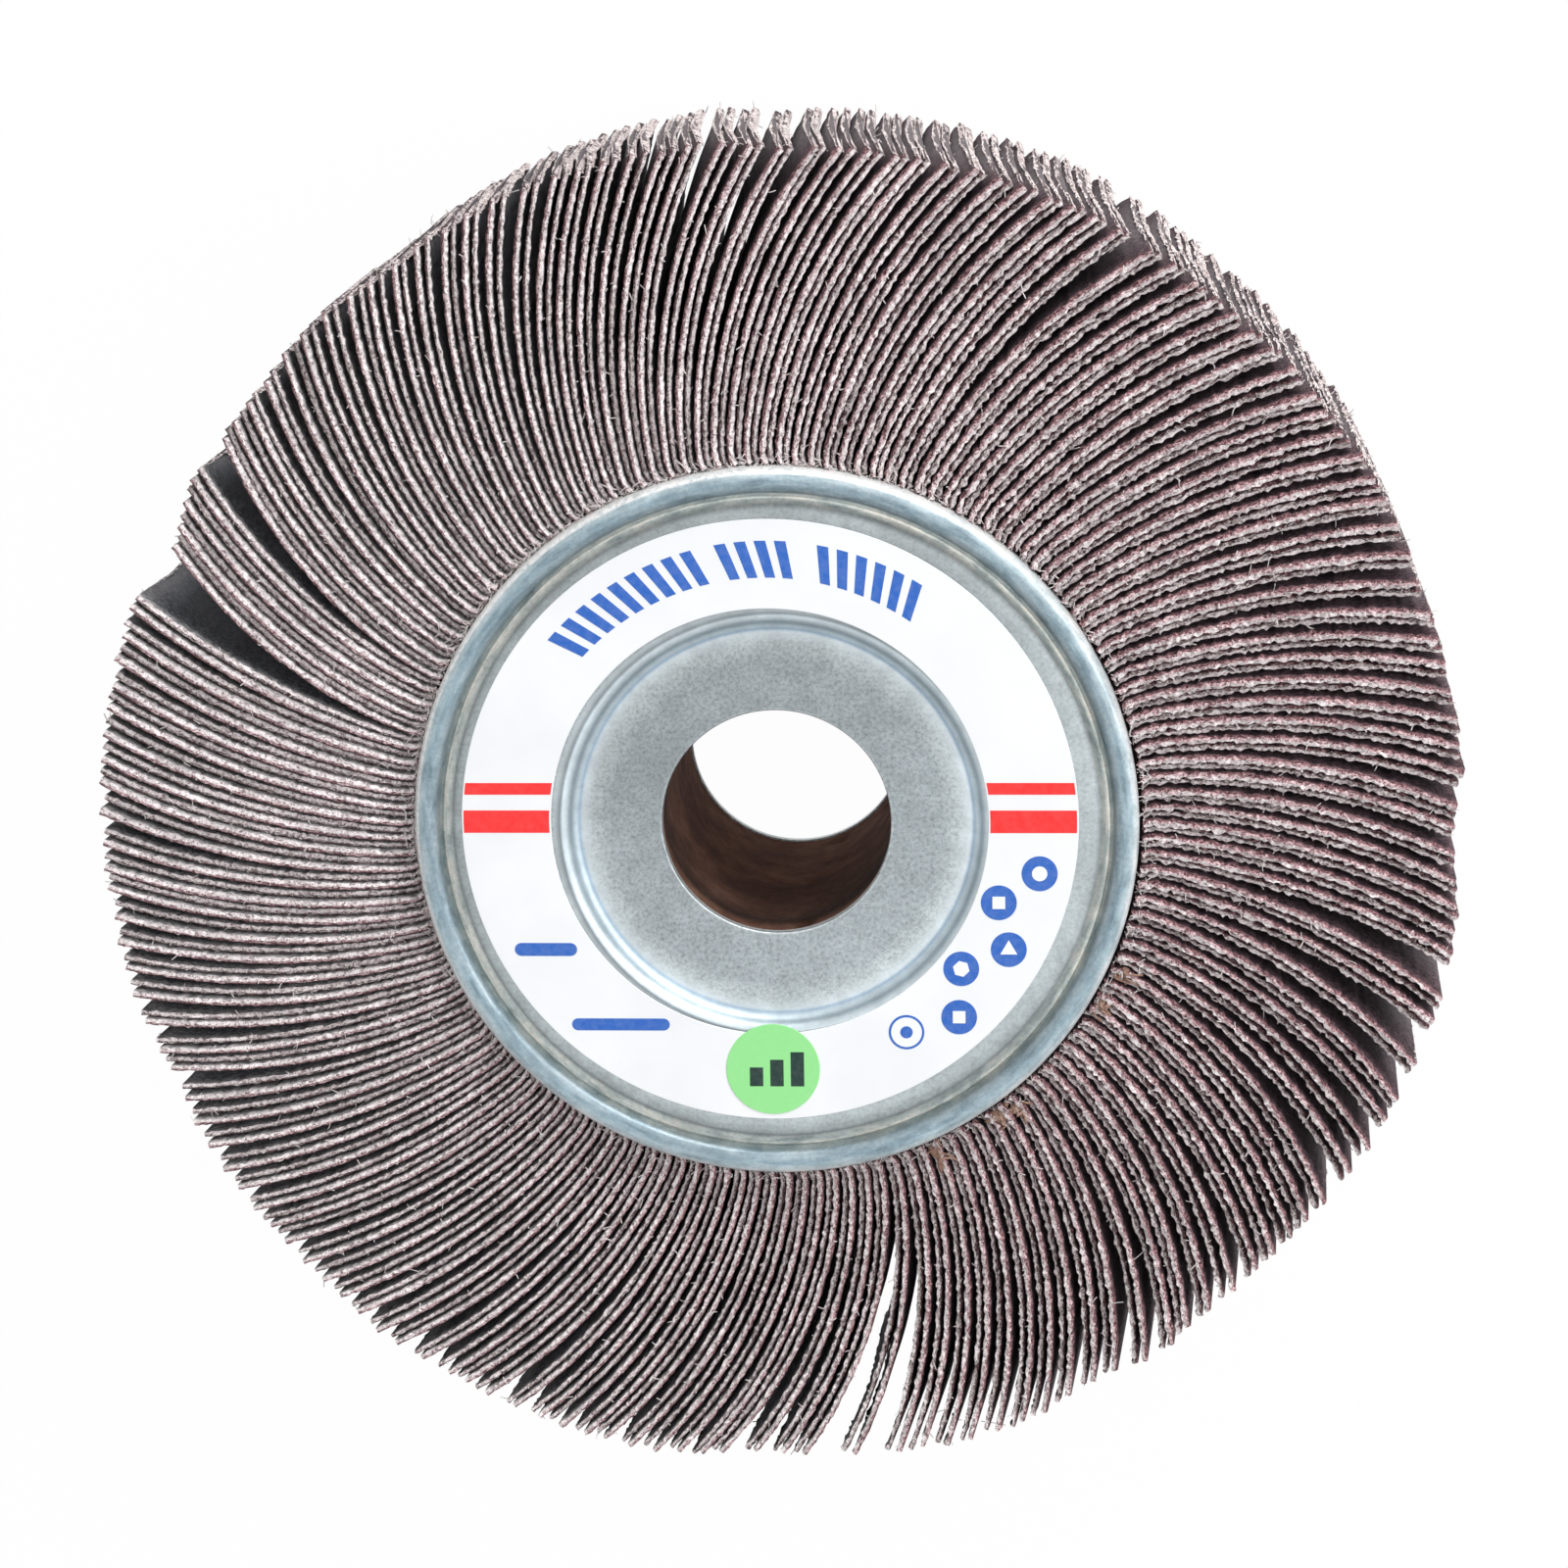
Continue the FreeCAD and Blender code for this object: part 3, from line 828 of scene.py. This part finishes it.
def flange_profile():
    """Closed section of a pressed flange whose seat is at height zero."""
    round_off = 0.22
    slope = 2 * math.degrees(math.atan(DISH_DEPTH / DISH_RUN))
    bend = DISH_RUN / (2 * math.sin(math.radians(slope)))
    bead_radius = BEAD_WIDTH / 2
    bead_middle = (RIM_RADIUS - bead_radius, FLANGE_HEIGHT - bead_radius)
    section = arc((BORE_RADIUS + round_off, SHEET - round_off), round_off, 180, 90, 4)
    section += arc((HUB_EDGE, SHEET + bend), bend, -90, -90 + slope, 9)
    section += arc((FLAT_INNER, FLAT_TOP - bend), bend, 90 + slope, 90, 9)[1:]
    section += [(FLAT_INNER + 1.5, FLAT_TOP), (RIM_RADIUS - PRESS_LINES[0][0] - 1.5, FLAT_TOP)]
    section += [(RIM_RADIUS - inwards, FLAT_TOP - depth) for inwards, depth in PRESS_LINES]
    for x, y in arc((0, 0), 1, 172, 0, 22):
        flatter = [math.copysign(abs(part) ** BEAD_FLATNESS, part) for part in (x, y)]
        section.append(tuple(at + bead_radius * part for at, part in zip(bead_middle, flatter)))
    section += [(RIM_RADIUS, 0.15), (RIM_RADIUS - 0.15, 0)]
    section += [(RIM_RADIUS - SHEET, 0), (RIM_RADIUS - SHEET, DISH_DEPTH)]
    section += [(FLAT_INNER + 0.6, DISH_DEPTH), (HUB_EDGE + 0.6, 0), (BORE_RADIUS, 0)]
    return section


def make_flange(name, seat, up, finish):
    def uneven(radius, height, turns):
        """Faint waves left by the press."""
        wave = 0.03 * np.sin(np.radians(3 * turns + 40)) + 0.02 * np.sin(np.radians(7 * turns))
        outer = np.clip((radius - FLAT_INNER) / (RIM_RADIUS - FLAT_INNER), 0, 1)
        return radius, height - FLANGE_SETBACK + outer * wave[:, None] * (height > SHEET)

    vertices, faces = lathe(flange_profile(), TURN_STEPS, uneven)
    vertices[:, 2] = seat + up * vertices[:, 2]
    if up < 0:
        faces = [face[::-1] for face in faces]
    piece = new_piece(name, vertices, faces, [finish], smooth=True)
    piece.data.set_sharp_from_angle(angle=math.radians(SHARP_EDGE))
    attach(piece, "root")
    return piece


def make_core(finish, bore_finish):
    """Cast resin between the flanges, pitted in its bore."""
    low, high = REAR_HIGH.z, FRONT_LOW.z
    levels = np.linspace(low, high, CORE_LEVELS)
    section = [(CORE_BORE_RADIUS, z) for z in levels[::-1]]
    section += [(CORE_RADIUS + 0.02, z) for z in np.linspace(low, high, 3)]

    def pitted(radius, height, turns):
        steps = len(turns)
        rough = chance.normal(0, 0.03, (steps, CORE_LEVELS))
        wave = wavy((CORE_LEVELS, steps), 14).T + wavy((steps, CORE_LEVELS), 7)
        depth = np.abs(rough + 0.03 * wave)
        for _ in range(PITS):
            at, level = chance.uniform(275, 400), chance.uniform(low, high)
            width = chance.uniform(0.4, 1.3)
            around = ((turns - at + 180) % 360 - 180) * math.pi / 180 * CORE_BORE_RADIUS
            across = height[:, :CORE_LEVELS] - level
            spot = np.exp(-(around[:, None] ** 2 + across ** 2) / width ** 2)
            depth = depth + PIT_DEPTH * spot * chance.uniform(0.3, 1)
        radius = radius.copy()
        radius[:, :CORE_LEVELS] += depth
        return radius, height

    vertices, faces = lathe(section, CORE_TURN_STEPS, pitted)
    slots = [1 if k < CORE_LEVELS - 1 else 0 for k in range(len(section))] * CORE_TURN_STEPS
    piece = new_piece("resin_core", vertices, faces, [finish, bore_finish], slots, smooth=False)
    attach(piece, "root")
    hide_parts("flap_pack")


def make_resin_films(finish):
    """Thin films of resin that ran out between the roots of the flaps, with drawn strings."""
    rows, columns = 5, 30
    vertices, faces = [], []
    for turn, radius, length, width in RESIN_FILMS:
        outward, sideways = polar(1.0, turn), polar(1.0, turn + 90)
        around = np.radians(np.arange(columns) * 360 / columns)
        ragged = 1 + sum(0.16 * np.sin(k * around + chance.uniform(0, 6.3)) for k in range(2, 7))
        x, y = polar(radius, turn)
        top = PACK_HIGH.z - 0.1
        offset = len(vertices)
        vertices.append((x, y, top))
        for row in range(1, rows + 2):
            share = min(row, rows) / rows
            level = top - 0.55 * share ** 2 if row <= rows else top - 0.9
            out = np.outer(length * share * ragged * np.cos(around), outward)
            across = np.outer(width * share * ragged * np.sin(around), sideways)
            levels = level + chance.normal(0, 0.06, columns)
            vertices += np.column_stack([(x, y) + out + across, levels]).tolist()
        vertices.append((x, y, top - 1.0))
        first, last = offset + 1, len(vertices) - 1
        for column in range(columns):
            after = (column + 1) % columns
            faces.append((offset, first + column, first + after))
            for row in range(rows):
                a, b = first + row * columns, first + (row + 1) * columns
                faces.append((a + column, b + column, b + after, a + after))
            bottom = first + rows * columns
            faces.append((last, bottom + after, bottom + column))
        for _ in range(4):
            start = np.array([x, y, top]) + chance.normal(0, 0.5, 3) * (1, 1, 0.2)
            heading = np.array([*(outward * chance.uniform(-0.4, 1.2)), 0]) + chance.normal(0, 0.35, 3)
            share = np.linspace(0, 1, 6)[:, None]
            bend = chance.normal(0, 0.5, 3) * (1, 1, 0.3)
            points = start + heading * length * 1.8 * share + bend * np.sin(math.pi * share)
            faces += ring_faces(6, 3, len(vertices))
            vertices += thread_tube(points, 0.15).tolist()
    piece = new_piece("resin_films", vertices, faces, [finish], smooth=True)
    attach(piece, "root")


# Paper ring, print and sticker

def on_label(x, y):
    """Place on the wheel of a point given from the middle of the paper, along its print."""
    turn = math.radians(LABEL_TURN)
    return (
        LABEL_CENTRE.x + x * math.cos(turn) - y * math.sin(turn),
        LABEL_CENTRE.y + x * math.sin(turn) + y * math.cos(turn),
    )


def turned_paper(name, section, steps, centre, finish):
    vertices, faces = lathe(section, steps)
    vertices[:, 0] += centre.x
    vertices[:, 1] += centre.y
    return new_piece(name, vertices, faces, [finish])


def make_label(finish):
    """Paper ring, whose thin edges show."""
    round_off = 0.04
    low, high = LABEL_LOW.z, LABEL_HIGH.z
    section = [
        (LABEL_INNER, low), (LABEL_INNER, high - round_off), (LABEL_INNER + round_off, high),
        (LABEL_OUTER - round_off, high), (LABEL_OUTER, high - round_off), (LABEL_OUTER, low),
    ]
    piece = turned_paper("label_paper", section, 256, LABEL_CENTRE, finish)
    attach(piece, "root")
    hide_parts("paper_label")


def ring_sector(inner, outer, start, end, shear=0.0):
    """Outline of part of a ring; its outer side may be turned on by a few degrees."""
    steps = max(2, int(abs(end - start) / 1.5) + 1)
    turns = np.linspace(start, end, steps + 1)
    inside = [tuple(p) for p in polar(inner, turns)]
    outside = [tuple(p) for p in polar(outer, turns[::-1] + shear)]
    return inside[::-1] + outside[::-1]


def disc_outline(x, y, radius, corners=40, turn=0.0):
    turns = turn + np.arange(corners) * 360 / corners
    return [(x + radius * px, y + radius * py) for px, py in polar(1.0, turns)]


def level_bar(side, low, high, margin=0.2):
    """Straight bar across the paper on one side, that ends along the paper's round edges."""
    heights = np.linspace(low, high, 5)
    inner, outer = LABEL_INNER + margin, LABEL_OUTER - margin
    out = [(side * math.sqrt(outer ** 2 - y * y), y) for y in heights]
    back = [(side * math.sqrt(inner ** 2 - y * y), y) for y in heights[::-1]]
    return out + back


def round_bar(x, y, length, height):
    """Level bar with round ends."""
    half = length / 2 - height / 2
    outline = []
    for side, start in ((1, -90), (-1, 90)):
        end = polar(height / 2, np.linspace(start, start + 180, 13))
        outline += [(x + side * half + px, y + py) for px, py in end]
    return outline


def prism(outline, low, high, vertices, faces):
    """Add an upright prism over an outline that has no holes."""
    count = len(outline)
    x, y = np.transpose(outline)
    if np.dot(x, np.roll(y, -1)) < np.dot(y, np.roll(x, -1)):
        outline = outline[::-1]
    offset = len(vertices)
    vertices += [(x, y, low) for x, y in outline] + [(x, y, high) for x, y in outline]
    faces.append(tuple(offset + i for i in reversed(range(count))))
    faces.append(tuple(offset + count + i for i in range(count)))
    for i in range(count):
        after = (i + 1) % count
        faces.append((offset + i, offset + after, offset + count + after, offset + count + i))


def make_print(name, shapes, finish, low):
    """Ink as thin plates. A shape is an outline from the middle of the paper and a level."""
    vertices, faces = [], []
    for outline, level in shapes:
        placed = [on_label(x, y) for x, y in outline]
        bottom = low + level * INK_THICKNESS
        prism(placed, bottom, bottom + INK_THICKNESS, vertices, faces)
    piece = new_piece(name, vertices, faces, [finish])
    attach(piece, "root")


def make_label_print(blue, red, white):
    """Red lines, blue bars for lettering, and discs with a plain white shape in each."""
    top = LABEL_HIGH.z
    lines = [(level_bar(side, low, high), 0) for side in (-1, 1) for low, high in RED_LINES]
    make_print("label_print_red", lines, red, top)

    ring_x, ring_y = polar(*DOTTED_RING)
    shapes, white_shapes = [], [(disc_outline(ring_x, ring_y, DOTTED_RING_WHITE), 1)]
    for start, count in BAR_ROWS:
        for number in range(count):
            at = start - number * BAR_STEP
            shapes.append((ring_sector(BAR_INNER, BAR_OUTER, at - BAR_TURN, at, BAR_SLANT), 0))
    shapes += [(round_bar(*bar), 0) for bar in LEVEL_BARS]
    for radius, turn, corners, size in DISCS:
        x, y = polar(radius, turn)
        shapes.append((disc_outline(x, y, DISC_RADIUS), 0))
        white_shapes.append((disc_outline(x, y, size, corners, 90 if corners == 3 else 45), 1))
    shapes.append((disc_outline(ring_x, ring_y, DISC_RADIUS), 0))
    make_print("label_print_blue", shapes, blue, top)
    make_print("label_print_white", white_shapes, white, top)
    dot = [(disc_outline(ring_x, ring_y, DOTTED_RING_DOT), 2)]
    make_print("label_print_dot", dot, blue, top)


def make_sticker(finish, ink):
    """Green dot with three dark bars of rising height."""
    centre = (STICKER_LOW + STICKER_HIGH) / 2
    radius = (STICKER_HIGH.x - STICKER_LOW.x) / 2
    middle, round_off = 0.001, 0.03
    section = [
        (middle, STICKER_LOW.z), (middle, STICKER_HIGH.z), (radius - round_off, STICKER_HIGH.z),
        (radius, STICKER_HIGH.z - round_off), (radius, STICKER_LOW.z),
    ]
    piece = turned_paper("sticker_paper", section, 96, centre, finish)
    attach(piece, "root")
    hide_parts("grade_sticker")

    x, y = centre.x - LABEL_CENTRE.x, centre.y - LABEL_CENTRE.y
    low = y - STICKER_BARS[-1] / 2
    bars = []
    for step, height in zip((-1, 0, 1), STICKER_BARS):
        left = x + step * STICKER_BAR_STEP - STICKER_BAR_WIDTH / 2
        right = left + STICKER_BAR_WIDTH
        bars.append(([(left, low), (right, low), (right, low + height), (left, low + height)], 0))
    make_print("sticker_print", bars, ink, STICKER_HIGH.z)


# Floor, light and camera

def empty_tree(owner):
    """Node tree of a material or world, with nothing in it."""
    owner.use_nodes = True
    owner.node_tree.nodes.clear()
    return owner.node_tree


def seen_share(tree):
    """One where the camera sees a surface, directly, in a reflection or through glass."""
    path = add_node(tree, "ShaderNodeLightPath").outputs
    seen = maths(tree, "ADD", path["Is Camera Ray"], path["Is Glossy Ray"], clamp=True)
    return maths(tree, "ADD", seen, path["Is Transmission Ray"], clamp=True)


def make_floor():
    """Pale floor: white to the camera and in reflections, with a soft shadow."""
    mesh = bpy.data.meshes.new("floor")
    corners = [(x * FLOOR_HALF, y * FLOOR_HALF, 0) for x, y in ((-1, -1), (1, -1), (1, 1), (-1, 1))]
    mesh.from_pydata(corners, [], [(0, 1, 2, 3)])
    material = bpy.data.materials.new("pale_floor")
    tree = empty_tree(material)
    matt = add_node(tree, "ShaderNodeBsdfDiffuse", {"Color": (0.85, 0.85, 0.85, 1)})
    white = add_node(tree, "ShaderNodeEmission", {"Color": (1, 1, 1, 1), "Strength": 1.0})
    share = maths(tree, "MULTIPLY", seen_share(tree), FLOOR_WHITE)
    both = add_node(tree, "ShaderNodeMixShader", {0: share, 1: matt.outputs[0], 2: white.outputs[0]})
    add_node(tree, "ShaderNodeOutputMaterial", {"Surface": both.outputs[0]})
    mesh.materials.append(material)
    floor = add_object("floor", mesh)


def make_world():
    """White to the camera and in reflections, and soft plain light otherwise."""
    world = bpy.data.worlds.new("studio")
    bpy.context.scene.world = world
    tree = empty_tree(world)
    soft, white = (
        add_node(tree, "ShaderNodeBackground", {"Color": (1, 1, 1, 1), "Strength": strength}).outputs[0]
        for strength in (WORLD_STRENGTH, 1.0)
    )
    both = add_node(tree, "ShaderNodeMixShader", {0: seen_share(tree), 1: soft, 2: white})
    add_node(tree, "ShaderNodeOutputWorld", {"Surface": both.outputs[0]})


def add_softbox(name, place, width, height, watts):
    """Rectangular lamp aimed at the wheel; its place is in metres."""
    data = bpy.data.lights.new(name, "AREA")
    data.shape = "RECTANGLE"
    data.size, data.size_y = width, height
    data.energy = watts
    lamp = add_object(name, data)
    lamp.location = place
    lamp.rotation_euler = (-Vector(place)).to_track_quat("-Z", "Y").to_euler()


def make_camera():
    """Looks down on the wheel from the top of the label's print and a little from the right."""
    place = Vector(CAMERA_PLACE) / METRE
    target = Vector(CAMERA_TARGET) / METRE
    data = bpy.data.cameras.new("camera")
    data.lens = CAMERA_LENS
    data.sensor_width = SENSOR_WIDTH
    data.clip_start, data.clip_end = 0.01, 50
    camera = add_object("camera", data)
    forward = (target - place).normalized()
    right = forward.cross(Vector((0, 1, 0))).normalized()
    turned = Matrix((right, right.cross(forward), -forward)).transposed()
    camera.matrix_world = Matrix.Translation(place) @ turned.to_4x4()
    bpy.context.scene.camera = camera


make_camera()
make_floor()
make_world()
for softbox in SOFTBOXES:
    add_softbox(*softbox)
bpy.context.scene.view_settings.view_transform = "Standard"

flap_finishes = [
    make_cloth_edge("edge_threads", "FFF8F8", "E3D5D6", "7C6A6B", grain=0.42, low=0.37, high=0.57),
    make_cloth_edge("edge_pink", "F5DCDE", "C4A3A6", "50343A", grain=0.36, low=0.39, high=0.61),
    make_cloth_edge("edge_grey", "E8DDDB", "A19392", "3C3032", grain=0.36, low=0.39, high=0.61),
    make_cloth_edge("edge_grit", "C79EA1", "7B5559", "2A181E", grain=0.33, low=0.38, high=0.62),
    # The far-in colours are painted fill light in the gaps; the edge colours are dust with painted light
    # near the cut edges
    make_flap_face("grit_face", "22161A", "46323A", "80626A", deep_fill_light="8C8488", edge="B89599",
                   edge_reach=1.3, tip_dust=0.05),
    make_flap_face("cloth_back", "1C1E22", "46484D", "8C8E90", deep_fill_light="8E9096", edge="EAE5E4",
                   edge_reach=3.6, tip_dust=0.3),
    make_cloth_edge("worn_tip", "FFFAF8", "DCCAC8", "6E5857", grain=0.5, low=0.38, high=0.58),
]
flap_rings = make_flaps(*flap_frames())
flap_tips = tip_strips(flap_rings)
build_flap_pieces(flap_rings, flap_tips, flap_finishes)
make_threads(flap_rings, flap_tips, make_thread_finish())
make_core(
    make_resin_finish("resin", "0E0807", "1C110F", "33221E", roughness=0.7, size=2.0),
    # The bore wall carries painted shade by height, darkest under the front flange's lip
    make_resin_finish("bore_wall", "63443A", "88604F", "AE8370", roughness=0.8, size=5.0, shaded_by_height=True),
)
make_resin_films(
    make_resin_finish("resin_films", "9A7464", "BA9684", "D6B9AA", roughness=0.45, size=0.8))

plate = make_plate_finish()
front_flange = make_flange("front_flange_plate", FRONT_LOW.z, 1, plate)
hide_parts("front_flange")
rear_flange = make_flange("rear_flange_plate", REAR_HIGH.z, -1, plate)
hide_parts("rear_flange")

make_label(make_paper_finish())
blue_ink = make_ink("blue_ink", "3068C2", 0.06)
make_label_print(blue_ink, make_ink("red_ink", "FA3636", 0.03), make_ink("white_gap", "F8FAFC", 0.0))
make_sticker(make_ink("green_paper", "99E996", 0.04), make_ink("black_ink", "17332D", 0.03))
